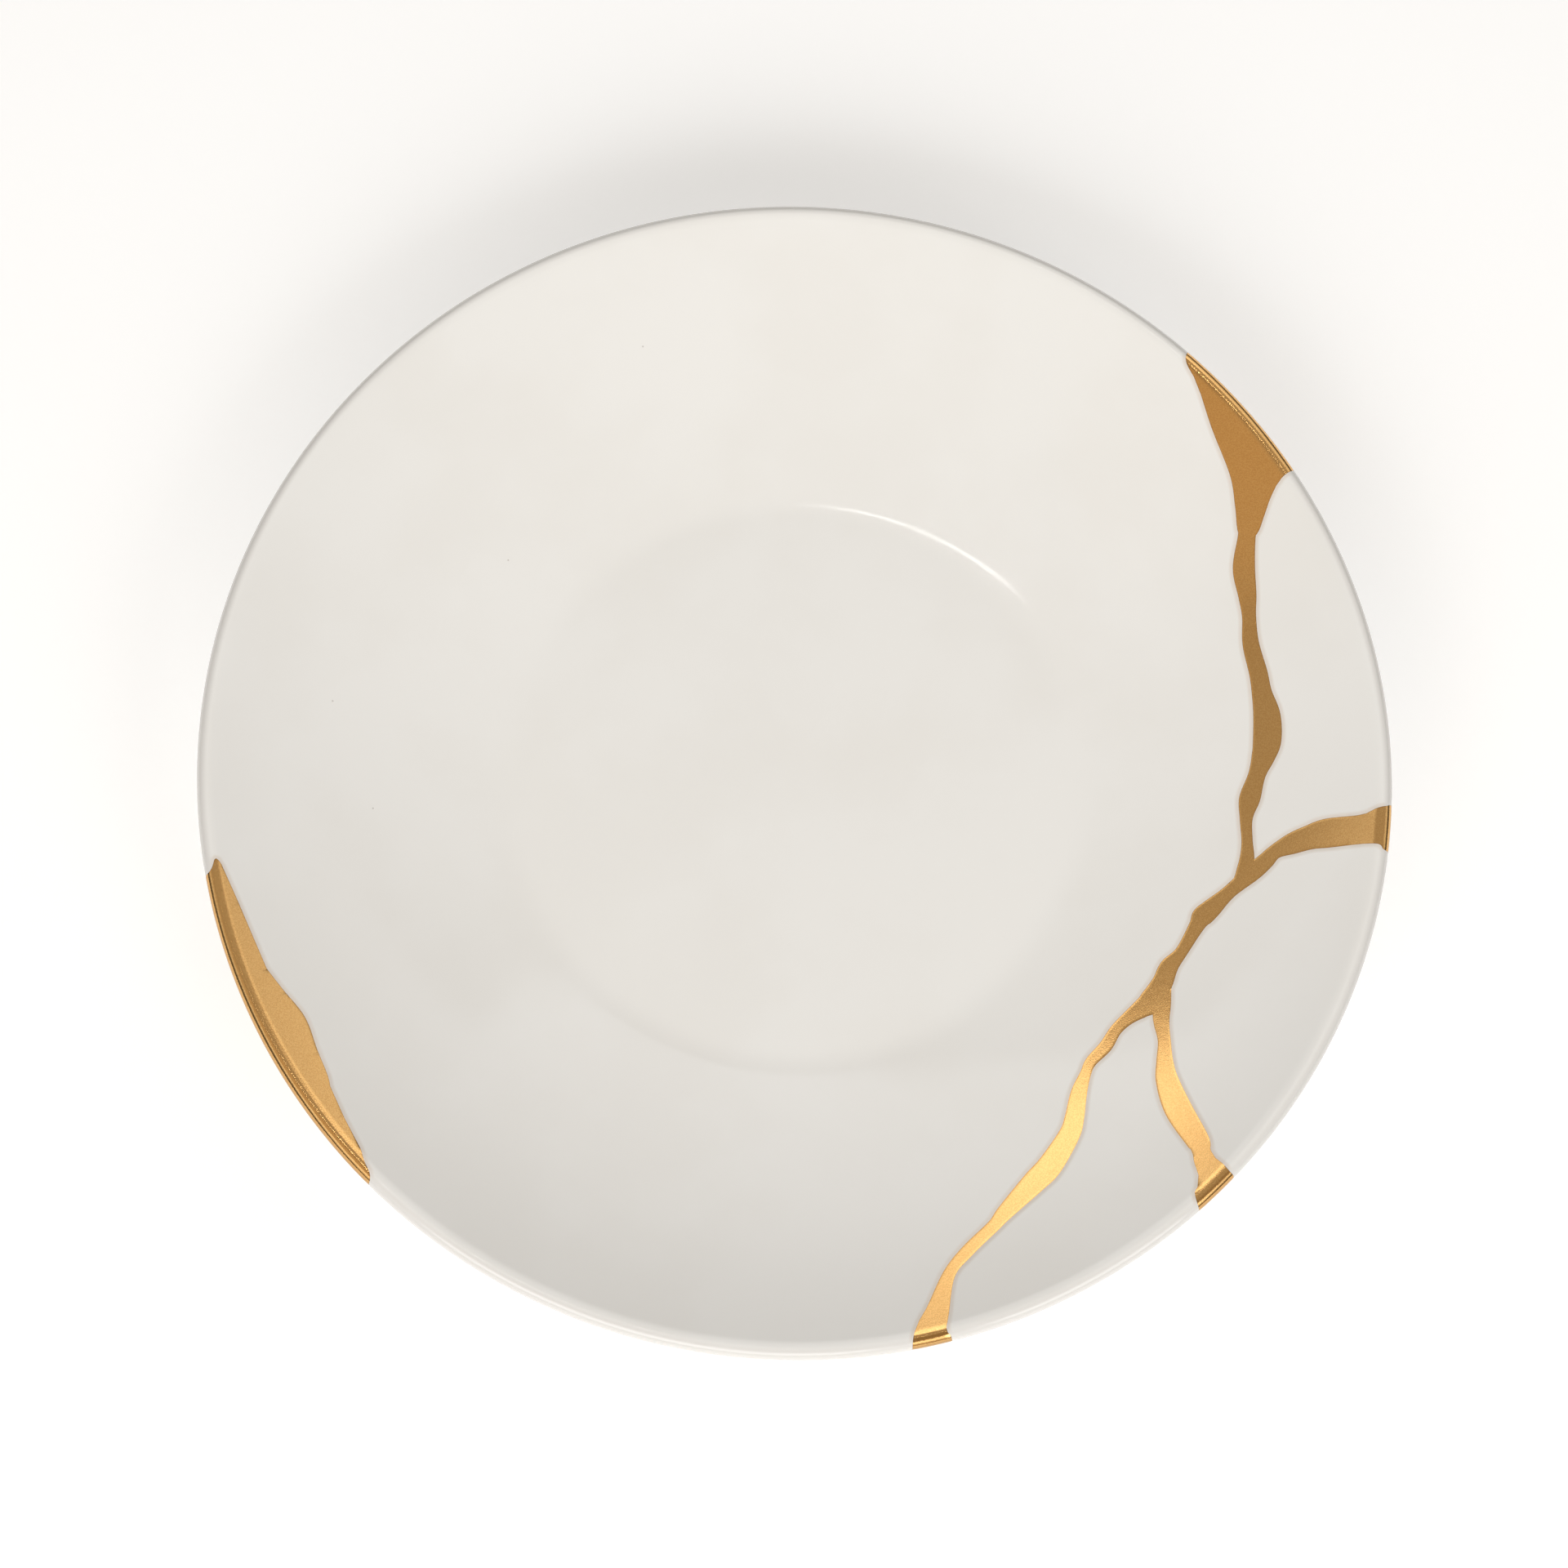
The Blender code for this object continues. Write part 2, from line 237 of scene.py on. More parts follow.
# A profile point is a radius, a height and a heading, the direction in which the line runs on.
def arc(start, end_heading, radius, steps):
    """Points that follow start on an arc that turns to end_heading."""
    r, z, heading = start
    bend = math.copysign(radius, end_heading - heading)
    points = []
    for step in range(1, steps + 1):
        at = heading + (end_heading - heading) * step / steps
        points.append((r + bend * (math.sin(at) - math.sin(heading)),
                       z - bend * (math.cos(at) - math.cos(heading)), at))
    return points


def lip_start(slope):
    """Where the wall's top, rising at this slope, runs into the lip's shoulder."""
    inward = (LIP_RADIUS * (1 + math.sin(SHOULDER_END))
              + SHOULDER_RADIUS * (math.sin(slope) - math.sin(SHOULDER_END)))
    down = (LIP_RADIUS * (1 - math.cos(SHOULDER_END))
            + SHOULDER_RADIUS * (math.cos(SHOULDER_END) - math.cos(slope)))
    return RIM_RADIUS - inward, PLATE_HEIGHT - down


def wall_end_slope(start):
    """Slope at which one arc from start, already rising, reaches the lip."""
    slope = start[2]
    for _ in range(SEARCH_ROUNDS):
        r, z = lip_start(slope)
        slope = 2 * math.atan2(z - start[1], r - start[0]) - start[2]
    return slope


def top_profile():
    """The plate's upper face out to the lip, and the radius of the wall's arc."""
    middle = (0.0, UNDERSIDE_HEIGHT + FLOOR_THICKNESS, 0.0)
    well = arc(middle, WELL_EDGE_SLOPE, WELL_RADIUS / math.sin(WELL_EDGE_SLOPE), WELL_STEPS)
    bend_radius = BEND_WIDTH / (math.sin(WALL_START_SLOPE) - math.sin(WELL_EDGE_SLOPE))
    bend = arc(well[-1], WALL_START_SLOPE, bend_radius, BEND_STEPS)
    slope = wall_end_slope(bend[-1])
    start = bend[-1]
    wall_radius = (lip_start(slope)[0] - start[0]) / (math.sin(slope) - math.sin(start[2]))
    return [middle] + well + bend + arc(start, slope, wall_radius, WALL_STEPS), wall_radius


class Skin:
    """The glazed surface laid out flat: a distance run along the profile, and an angle."""

    def __init__(self):
        top, wall_radius = top_profile()
        crest = arc(top[-1], SHOULDER_END, SHOULDER_RADIUS, SHOULDER_STEPS)
        crest += arc(crest[-1], 0.0, LIP_RADIUS, CREST_STEPS)
        edge = arc(crest[-1], -math.pi / 2, LIP_RADIUS, EDGE_STEPS)
        r, z, slope = top[-1]
        below = (r + WALL_THICKNESS * math.sin(slope), z - WALL_THICKNESS * math.cos(slope))
        under_radius = (RIM_RADIUS - below[0]) / (1 - math.sin(slope))
        under = [(RIM_RADIUS, below[1] + under_radius * math.cos(slope), -math.pi / 2)]
        under += arc(under[0], slope - math.pi, under_radius, TURN_UNDER_STEPS)
        outer = wall_radius + WALL_THICKNESS
        wrap = arc(under[-1], under[-1][2] - GOLD_WRAP / outer, outer, WRAP_STEPS)
        beyond = arc(wrap[-1], wrap[-1][2] - BEYOND_WRAP / outer, outer, BEYOND_WRAP_STEPS)
        self.top = top
        self.points = top + crest + edge + under + wrap + beyond
        self.run = [0.0]
        for before, after in zip(self.points, self.points[1:]):
            turn = after[2] - before[2]
            chord = math.hypot(after[0] - before[0], after[1] - before[1])
            bent = (turn / 2) / math.sin(turn / 2) if turn else 1.0
            self.run.append(self.run[-1] + chord * bent)
        self.lip_first = len(top) - RINGS_BEFORE_LIP
        self.widest = len(top + crest + edge) - 1
        self.wrap_end = len(top + crest + edge + under + wrap) - 1

    def at(self, run):
        """Radius, height and heading at a distance run."""
        index = min(max(bisect.bisect_right(self.run, run) - 1, 0), len(self.run) - 2)
        start, end = self.points[index], self.points[index + 1]
        length = self.run[index + 1] - self.run[index]
        share = (run - self.run[index]) / length
        turn = end[2] - start[2]
        if not turn:
            return (start[0] + (end[0] - start[0]) * share,
                    start[1] + (end[1] - start[1]) * share, start[2])
        heading = start[2] + turn * share
        radius = length / turn
        return (start[0] + radius * (math.sin(heading) - math.sin(start[2])),
                start[1] - radius * (math.cos(heading) - math.cos(start[2])), heading)

    def run_of(self, radius):
        """Distance run at a radius of the upper face."""
        low, high = 0.0, self.run[self.widest]
        for _ in range(SEARCH_ROUNDS):
            middle = (low + high) / 2
            if self.at(middle)[0] < radius:
                low = middle
            else:
                high = middle
        return (low + high) / 2


SKIN = Skin()


def smooth_line(points, steps):
    """Smooth curve that passes through points, each a place or a place with a width."""
    line = []
    for index in range(len(points) - 1):
        before = points[max(index - 1, 0)]
        start = points[index]
        end = points[index + 1]
        after = points[min(index + 2, len(points) - 1)]
        for step in range(steps):
            t = step / steps
            line.append(0.5 * (2 * start + (end - before) * t
                               + (2 * before - 5 * start + 4 * end - after) * t ** 2
                               + (3 * start - before - 3 * end + after) * t ** 3))
    return line + [points[-1]]


def place(angle, inset):
    """Point of the plan at an angle in degrees and a distance in from the rim."""
    radius = RIM_RADIUS - inset
    turn = math.radians(angle)
    return radius * math.cos(turn), radius * math.sin(turn)


def crack_outline(stations):
    """Outline of a crack in plan, from its places and widths."""
    middle = smooth_line([Vector((*place(angle, inset), width))
                          for angle, inset, width in stations], OUTLINE_STEPS)
    left = []
    right = []
    for index, station in enumerate(middle):
        ahead = middle[min(index + 1, len(middle) - 1)]
        behind = middle[max(index - 1, 0)]
        along = (ahead.xy - behind.xy).normalized()
        side = Vector((-along.y, along.x)) * station.z / 2
        left.append(station.xy + side)
        right.append(station.xy - side)
    return left + right[::-1]


def chip_outline(edge):
    """Outline of a chip in plan: its inner edge, closed outside the rim."""
    return smooth_line([Vector(place(angle, inset)) for angle, inset in edge], OUTLINE_STEPS)


def flat(run, angle):
    """Point of the flat layout."""
    return Vector((run * math.cos(angle), run * math.sin(angle)))


def over_the_lip(side):
    """A side that leaves over the rim, from where it meets the lip to where the gold ends.

    The side runs outwards in plan. It is followed over the lip and back in under it."""
    radii = [point.length for point in side]
    angles = [math.atan2(point.y, point.x) for point in side]
    line = []
    for index in range(SKIN.lip_first, SKIN.wrap_end + 1):
        radius = SKIN.points[index][0]
        spot = min(max(bisect.bisect_left(radii, radius), 1), len(radii) - 1)
        share = (radius - radii[spot - 1]) / (radii[spot] - radii[spot - 1])
        angle = angles[spot - 1] + (angles[spot] - angles[spot - 1]) * share
        line.append(flat(SKIN.run[index], angle))
    return line


def layout(outline):
    """An outline in plan carried to the flat layout, round the lip where it leaves the rim."""
    limit = SKIN.points[SKIN.lip_first][0]
    count = len(outline)
    inside = [point.length < limit for point in outline]
    if all(inside):
        return [flat(SKIN.run_of(point.length), math.atan2(point.y, point.x))
                for point in outline]
    first = next(index for index in range(count) if inside[index] and not inside[index - 1])
    turned = [outline[(first + step) % count] for step in range(count)]
    line = []
    index = 0
    while index < count:
        if turned[index].length < limit:
            point = turned[index]
            line.append(flat(SKIN.run_of(point.length), math.atan2(point.y, point.x)))
            index += 1
            continue
        end = index
        while end < count and turned[end].length >= limit:
            end += 1
        outer = max(range(index, end), key=lambda spot: turned[spot].length)
        leaving = [turned[index - 1]]
        for point in turned[index:outer + 1]:
            if point.length > leaving[-1].length:
                leaving.append(point)
        coming = [turned[end % count]]
        for point in reversed(turned[outer:end]):
            if point.length > coming[-1].length:
                coming.append(point)
        out = over_the_lip(leaving)
        back = over_the_lip(coming)
        start = math.atan2(out[-1].y, out[-1].x)
        stop = math.atan2(back[-1].y, back[-1].x)
        turn = (stop - start + math.pi) % (2 * math.pi) - math.pi
        steps = max(2, int(abs(turn) * RIM_RADIUS / RING_SPACING))
        run = SKIN.run[SKIN.wrap_end]
        arc_line = [flat(run, start + turn * step / steps) for step in range(1, steps)]
        line += out + arc_line + back[::-1]
        index = end
    return line


def inside_outline(point, outline):
    """Whether a point lies inside an outline."""
    inside = False
    x, y = point
    x1, y1 = outline[-1]
    for x2, y2 in outline:
        if (y1 > y) != (y2 > y) and x < (x2 - x1) * (y - y1) / (y2 - y1) + x1:
            inside = not inside
        x1, y1 = x2, y2
    return inside


def points_beside(outline, distance):
    """Points at a distance on both sides of an outline."""
    found = []
    for index, point in enumerate(outline):
        along = outline[(index + 1) % len(outline)] - outline[index - 1]
        if along.length > SHORTEST:
            side = Vector((-along.y, along.x)).normalized() * distance
            found += [point + side, point - side]
    return found


class Sheet:
    """The glazed surface cut into triangles along every edge of the gold."""

    def __init__(self, outlines):
        self.outlines = [[tuple(point) for point in outline] for outline in outlines]
        self.boxes = [(min(x for x, _ in line), min(y for _, y in line),
                       max(x for x, _ in line), max(y for _, y in line))
                      for line in self.outlines]
        self.near_gold = KDTree(sum(len(outline) for outline in outlines))
        for outline in outlines:
            for point in outline:
                self.near_gold.insert((point.x, point.y, 0.0), 0)
        self.near_gold.balance()
        self.points = [Vector((0.0, 0.0))]
        self.edges = []
        self.add_rings()
        for outline in outlines:
            self.add_outline(outline)
        self.cut()

    def add_rings(self):
        """Rings of points, tied together from the lip on."""
        last = len(SKIN.run) - 1
        for index in range(1, last + 1):
            run = SKIN.run[index]
            tied = index >= SKIN.lip_first - 1
            rough_count = math.ceil(run / RING_SPACING / RING_STRETCH)
            count = RIM_POINTS if tied else RING_MULTIPLE * max(1, rough_count)
            ring = [flat(run, 2 * math.pi * step / count) for step in range(count)]
            if tied:
                first = len(self.points)
                self.points += ring
                self.edges += [(first + step, first + (step + 1) % count)
                               for step in range(count)]
            else:
                self.points += [point for point in ring if self.clear_of_gold(point)]

    def clear_of_gold(self, point):
        """Whether a grid point keeps away from the fine points along the gold."""
        return self.near_gold.find((point.x, point.y, 0.0))[2] > GRID_CLEARANCE * EDGE_OFFSETS[-1]

    def add_outline(self, outline):
        """An outline's own edge, and the points beside it that its soft edges need."""
        first = len(self.points)
        count = len(outline)
        self.points += outline
        self.edges += [(first + step, first + (step + 1) % count) for step in range(count)]
        for distance in EDGE_OFFSETS:
            for point in points_beside(outline, distance):
                away = self.near_gold.find((*point, 0.0))[2]
                if (point.length < SKIN.run[SKIN.lip_first - 1]
                        and away > OFFSET_CLEARANCE * distance):
                    self.points.append(point)

    def cut(self):
        """Triangles of the whole sheet, and which of them are gold."""
        made = delaunay_2d_cdt(self.points, self.edges, [], 0, CUT_TOLERANCE, False)
        self.points = made[0]
        self.triangles = [tuple(face) for face in made[2]]
        self.gold = []
        for face in self.triangles:
            x = sum(self.points[index].x for index in face) / 3
            y = sum(self.points[index].y for index in face) / 3
            self.gold.append(any(
                box[0] < x < box[2] and box[1] < y < box[3] and inside_outline((x, y), line)
                for line, box in zip(self.outlines, self.boxes)))


def boundary(triangles):
    """Directed edges that only one triangle of the group has."""
    edges = {(face[step], face[(step + 1) % 3]) for face in triangles for step in range(3)}
    return [edge for edge in edges if edge[::-1] not in edges]


def nearest_edge(sheet):
    """For each point of the sheet, how far the edge of the gold is, and the way to it."""
    gold = [face for face, is_gold in zip(sheet.triangles, sheet.gold) if is_gold]
    samples = []
    for a, b in boundary(gold):
        start, end = sheet.points[a], sheet.points[b]
        steps = max(1, math.ceil((end - start).length / EDGE_SAMPLING))
        samples += [start.lerp(end, step / steps) for step in range(steps)]
    tree = KDTree(len(samples))
    for index, point in enumerate(samples):
        tree.insert((point.x, point.y, 0.0), index)
    tree.balance()
    found = []
    for point in sheet.points:
        near, _, distance = tree.find((point.x, point.y, 0.0))
        found.append((distance, near.xy - point))
    return found


def lifted(point, depth, slope, way):
    """Position and normal of a point of the sheet, sunk by depth, which grows towards way."""
    run = point.length
    angle = math.atan2(point.y, point.x)
    radius, height, heading = SKIN.at(run)
    out = Vector((math.cos(angle), math.sin(angle), 0.0))
    up = Vector((0.0, 0.0, 1.0))
    normal = -math.sin(heading) * out + math.cos(heading) * up
    along = math.cos(heading) * out + math.sin(heading) * up
    around = Vector((-out.y, out.x, 0.0))
    position = radius * out + height * up - depth * normal
    if slope and way.length > SHORTEST:
        unit = way.normalized()
        normal = normal + slope * (unit.dot(out.xy) * along + unit.dot(around.xy) * around)
    return position * MM, normal.normalized()


def sunk(distance, dip, width):
    """How deep a soft edge lies at a distance from it, and how steep it is there."""
    if distance >= width:
        return 0.0, 0.0
    share = 1 - distance / width
    return dip * share ** 2, 2 * dip * share / width


class Builder:
    """Gathers faces whose corners have their own normals."""

    def __init__(self, name):
        self.name = name
        self.places = []
        self.distances = []
        self.index = {}
        self.faces = []
        self.normals = []

    def corner(self, key, position, distance):
        """Number of the point with this key, made when it is first asked for."""
        if key not in self.index:
            self.index[key] = len(self.places)
            self.places.append(position)
            self.distances.append(distance)
        return self.index[key]

    def face(self, corners, normals=None):
        """Adds a face, flat unless its corners bring normals."""
        if normals is None:
            spots = [self.places[corner] for corner in corners]
            across = (spots[2] - spots[0]).cross(spots[-1] - spots[1])
            normals = [across.normalized()] * len(corners)
        self.faces.append(corners)
        self.normals += normals

    def piece(self, nodes, material):
        """The finished piece, which stands for nodes of the model."""
        mesh = bpy.data.meshes.new(self.name)
        mesh.from_pydata(self.places, [], self.faces)
        mesh.shade_smooth()
        mesh.normals_split_custom_set(self.normals)
        attribute = mesh.attributes.new("edge_distance", 'FLOAT', 'POINT')
        attribute.data.foreach_set("value", self.distances)
        mesh.materials.append(material)
        thing = bpy.data.objects.new(self.name, mesh)
        bpy.context.scene.collection.objects.link(thing)
        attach(thing, "root")
        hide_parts(*nodes)
        return thing


def sheet_corner(builder, sheet, edges, index, layer, even=False):
    """Corner and normal of a point of the sheet on one of its layers.

    An even corner has the normal of the surface without its soft edge."""
    distance, way = edges[index]
    if layer == "glaze":
        depth, slope = sunk(distance, GLAZE_DIP, GLAZE_DIP_WIDTH)
    elif layer == "gold":
        depth, slope = sunk(distance, GOLD_DIP, GOLD_DIP_WIDTH)
    else:
        depth, slope = layer, 0.0
    position, normal = lifted(sheet.points[index], depth, 0.0 if even else slope, way)
    return builder.corner((index, layer), position, distance), normal


def add_layer(builder, sheet, edges, faces, layer, flipped=False):
    """Adds triangles of the sheet on one layer, shaded even where its soft edges end."""
    for face in faces:
        order = face[::-1] if flipped else face
        even = sum(edges[index][0] for index in face) / 3 > SOFT_REACH
        made = [sheet_corner(builder, sheet, edges, index, layer, even) for index in order]
        sign = -1 if flipped else 1
        builder.face([corner for corner, _ in made], [sign * normal for _, normal in made])


def add_wall(builder, sheet, edges, faces, upper, lower, inward):
    """Adds the wall that joins two layers along the border of some triangles."""
    for a, b in boundary(faces):
        if inward:
            a, b = b, a
        corners = [sheet_corner(builder, sheet, edges, index, layer)[0]
                   for index, layer in ((b, upper), (a, upper), (a, lower), (b, lower))]
        builder.face(corners)


def underside_profile():
    """The rest of the outside: from below the gold's wrap down to the foot and its middle."""
    outside = [(r + WALL_THICKNESS * math.sin(h), z - WALL_THICKNESS * math.cos(h), h)
               for r, z, h in SKIN.top]
    widest = SKIN.points[-1][0] - FIRST_RING_GAP
    outer = FOOT_RADIUS + FOOT_WIDTH / 2
    inner = FOOT_RADIUS - FOOT_WIDTH / 2
    edge = outer + FOOT_FILLET
    wall = [(r, z, h - math.pi) for r, z, h in outside if edge < r < widest][::-1]
    nearest = [point for point in outside if point[0] <= edge][-1]
    beyond = wall[-1]
    share = (edge - nearest[0]) / (beyond[0] - nearest[0])
    join = (edge, nearest[1] + share * (beyond[1] - nearest[1]), beyond[2])
    down, inward, up = -math.pi / 2, -math.pi, -math.pi * 3 / 2
    line = wall + [join]
    line += fillet(join, (outer, join[1] - FOOT_FILLET, down), FILLET_STEPS)
    outer_edge = (outer, FOOT_ROUNDING, down)
    inner_edge = (inner + FOOT_ROUNDING, 0.0, inward)
    line += [outer_edge] + arc(outer_edge, inward, FOOT_ROUNDING, ROUNDING_STEPS)
    line += [inner_edge] + arc(inner_edge, up, FOOT_ROUNDING, ROUNDING_STEPS)
    line += arc(line[-1], inward, FOOT_FILLET, FILLET_STEPS)
    reach = inner - FOOT_FILLET
    line += [(reach * (1 - step / FLAT_STEPS), UNDERSIDE_HEIGHT, inward)
             for step in range(1, FLAT_STEPS)]
    return line


def fillet(start, end, steps):
    """Points of a soft turn between two points with their headings."""
    points = []
    length = math.hypot(end[0] - start[0], end[1] - start[1])
    for step in range(1, steps + 1):
        t = step / steps
        h0, h1 = 2 * t ** 3 - 3 * t ** 2 + 1, -2 * t ** 3 + 3 * t ** 2
        g0, g1 = t ** 3 - 2 * t ** 2 + t, t ** 3 - t ** 2
        r = (h0 * start[0] + h1 * end[0]
             + length * (g0 * math.cos(start[2]) + g1 * math.cos(end[2])))
        z = (h0 * start[1] + h1 * end[1]
             + length * (g0 * math.sin(start[2]) + g1 * math.sin(end[2])))
        points.append((r, z, start[2] + (end[2] - start[2]) * t))
    return points


def add_underside(builder, sheet, edges):
    """Adds the outside of the plate, from the sheet's last ring to the middle of the foot."""
    limit = SKIN.run[-1] - LAST_RING_TOLERANCE
    ring = [index for index, point in enumerate(sheet.points) if point.length > limit]
    ring.sort(key=lambda index: math.atan2(sheet.points[index].y, sheet.points[index].x))
    made = [sheet_corner(builder, sheet, edges, index, "glaze") for index in ring]
    angles = [math.atan2(sheet.points[index].y, sheet.points[index].x) for index in ring]
    corners = [corner for corner, _ in made]
    normals = [normal for _, normal in made]
    count = len(ring)
    for level, (r, z, heading) in enumerate(underside_profile()):
        next_corners = []
        next_normals = []
        for spot, angle in enumerate(angles):
            out = Vector((math.cos(angle), math.sin(angle), 0.0))
            position = (r * out + Vector((0.0, 0.0, z))) * MM
            corner = builder.corner(("under", level, spot), position, FAR_FROM_GOLD)
            next_corners.append(corner)
            next_normals.append(-math.sin(heading) * out
                                + Vector((0.0, 0.0, math.cos(heading))))
        for spot in range(count):
            other = (spot + 1) % count
            builder.face([corners[spot], next_corners[spot], next_corners[other], corners[other]],
                         [normals[spot], next_normals[spot], next_normals[other], normals[other]])
        corners, normals = next_corners, next_normals
    down = Vector((0.0, 0.0, -1.0))
    place_of_middle = Vector((0.0, 0.0, UNDERSIDE_HEIGHT * MM))
    middle = builder.corner("middle", place_of_middle, FAR_FROM_GOLD)
    for spot in range(count):
        other = (spot + 1) % count
        builder.face([corners[spot], middle, corners[other]], [down] * 3)


def speck_place(x, y):
    """Place of a speck on the glaze, in metres."""
    _, height, _ = SKIN.at(SKIN.run_of(math.hypot(x, y)))
    return Vector((x, y, height)) * MM


class Nodes:
    """Short way to add and join shader nodes."""

    def __init__(self, tree):
        self.tree = tree

    def add(self, kind, settings=None, **inputs):
        """A node with its settings and inputs, each a value or another node's output.

        An input is named with _ for each blank, or by _ and its number."""
        node = self.tree.nodes.new(kind)
        for name, value in (settings or {}).items():
            setattr(node, name, value)
        for name, value in inputs.items():
            key = int(name[1:]) if name[0] == "_" else name.replace("_", " ")
            socket = node.inputs[key]
            if isinstance(value, bpy.types.NodeSocket):
                self.tree.links.new(value, socket)
            else:
                socket.default_value = value
        return node

    def maths(self, operation, *values):
        """Output of a math node."""
        inputs = {f"_{index}": value for index, value in enumerate(values)}
        return self.add('ShaderNodeMath', {"operation": operation}, **inputs).outputs[0]

    def step(self, value, start, end, low=0.0, high=1.0):
        """Smooth step from low to high."""
        return self.add('ShaderNodeMapRange', {"interpolation_type": 'SMOOTHSTEP'},
                        Value=value, From_Min=start, From_Max=end,
                        To_Min=low, To_Max=high).outputs[0]

    def noise(self, place, scale, detail=2.0):
        """Output of a noise texture."""
        node = self.add('ShaderNodeTexNoise', Vector=place, Scale=scale, Detail=detail)
        return node.outputs["Fac"]

    def near_gold(self, start, end):
        """1 up to a distance from the edge of the gold, and 0 from another one on, in mm."""
        node = self.add('ShaderNodeAttribute', {"attribute_name": "edge_distance"})
        return self.step(node.outputs["Fac"], start, end, 1.0, 0.0)

    def radius(self, place):
        """Distance of a place from the upright line through the plate's middle."""
        parts = self.add('ShaderNodeSeparateXYZ', Vector=place).outputs
        squares = [self.maths('MULTIPLY', parts[axis], parts[axis]) for axis in (0, 1)]
        return self.maths('SQRT', self.maths('ADD', *squares))

    def mix(self, share, first, second):
        """Colour between two colours."""
        node = self.add('ShaderNodeMix', {"data_type": 'RGBA'}, _0=share, _6=first, _7=second)
        return node.outputs[2]


def new_material(name):
    """Empty material: its nodes, its main shader and the place on the object."""
    material = bpy.data.materials.new(name)
    material.use_nodes = True
    nodes = Nodes(material.node_tree)
    shader = material.node_tree.nodes["Principled BSDF"]
    spot = nodes.add('ShaderNodeTexCoord').outputs["Object"]
    return material, nodes, shader, spot


def glaze_material():
    """Clear gloss glaze over warm off-white porcelain, with painted shade beside the gold and over
    the lip, and a bare ring to stand on.
    """
    material, nodes, shader, spot = new_material("glazed_porcelain")
    link = material.node_tree.links.new
    cloud = nodes.step(nodes.noise(spot, scale=34.0, detail=3.0), 0.35, 0.65)
    body = nodes.mix(cloud, *PORCELAIN_SHADES)
    # Painted shade on the glaze, soft and brownish, beside the edges of the gold
    painted_shade_beside_gold = nodes.maths('MULTIPLY', nodes.near_gold(*PAINTED_SHADE_BESIDE_GOLD_REACH), PAINTED_SHADE_BESIDE_GOLD_SHARE)
    body = nodes.mix(painted_shade_beside_gold, body, PAINTED_SHADE_BESIDE_GOLD)
    for x, y in SPECKS:
        away = nodes.add('ShaderNodeVectorMath', {"operation": 'DISTANCE'}, _0=spot,
                         _1=speck_place(x, y)).outputs["Value"]
        dot = nodes.step(away, *SPECK_REACH, low=SPECK_SHARE, high=0.0)
        body = nodes.mix(dot, body, PORCELAIN_SPECK)
    # Painted shade: the glaze darkens over the lip, outwards from this radius
    painted_lip_shade = nodes.step(nodes.radius(spot), *PORCELAIN_LIP_PAINTED_SHADE_START)
    body = nodes.mix(painted_lip_shade, body, PORCELAIN_LIP_PAINTED_SHADE)
    height = nodes.add('ShaderNodeSeparateXYZ', Vector=spot).outputs["Z"]
    bare = nodes.step(height, *BARE_HEIGHT, low=1.0, high=0.0)
    grit = nodes.step(nodes.noise(spot, scale=2600.0, detail=3.0), 0.4, 0.7)
    clay = nodes.mix(grit, *CLAY_SHADES)
    link(nodes.mix(bare, body, clay), shader.inputs["Base Color"])
    rough = nodes.step(nodes.noise(spot, scale=120.0), 0.3, 0.7, *GLAZE_ROUGHNESS)
    rough = nodes.maths('MAXIMUM', rough, nodes.maths('MULTIPLY', bare, CLAY_ROUGHNESS))
    link(rough, shader.inputs["Roughness"])
    shader.inputs["IOR"].default_value = GLAZE_IOR
    ripple = nodes.noise(spot, scale=160.0)
    bump = nodes.add('ShaderNodeBump', Strength=0.25, Distance=0.00004, Height=ripple)
    link(bump.outputs[0], shader.inputs["Normal"])
    return material


def gold_material():
    """Satin gold leaf with a fine grain, and painted shade along its edges and over the lip."""
    material, nodes, shader, spot = new_material("kintsugi_gold")
    link = material.node_tree.links.new
    cloud = nodes.step(nodes.noise(spot, scale=4200.0, detail=3.0), 0.35, 0.65)
    colour = nodes.mix(cloud, *GOLD_SHADES)
    # Painted shade: a thin dark line along the edges of the gold
    edge = nodes.maths('MULTIPLY', nodes.near_gold(*GOLD_EDGE_PAINTED_SHADE_REACH), GOLD_EDGE_PAINTED_SHADE_SHARE)
    colour = nodes.mix(edge, colour, GOLD_PAINTED_SHADE)
    # Painted shade: the gold darkens over the lip, outwards from this radius
    painted_lip_shade = nodes.step(nodes.radius(spot), *GOLD_LIP_PAINTED_SHADE_START, high=GOLD_LIP_PAINTED_SHADE_SHARE)
    colour = nodes.mix(painted_lip_shade, colour, GOLD_PAINTED_SHADE)
    link(colour, shader.inputs["Base Color"])
    shader.inputs["Metallic"].default_value = 1.0
    grain = nodes.noise(spot, scale=5200.0)
    link(nodes.step(grain, 0.2, 0.8, *GOLD_ROUGHNESS), shader.inputs["Roughness"])
    wave = nodes.noise(spot, scale=420.0, detail=3.0)
    first = nodes.add('ShaderNodeBump', Strength=0.30, Distance=0.00003, Height=grain)
    second = nodes.add('ShaderNodeBump', Strength=0.12, Distance=0.0001, Height=wave,
                       Normal=first.outputs[0])
    link(second.outputs[0], shader.inputs["Normal"])
    return material


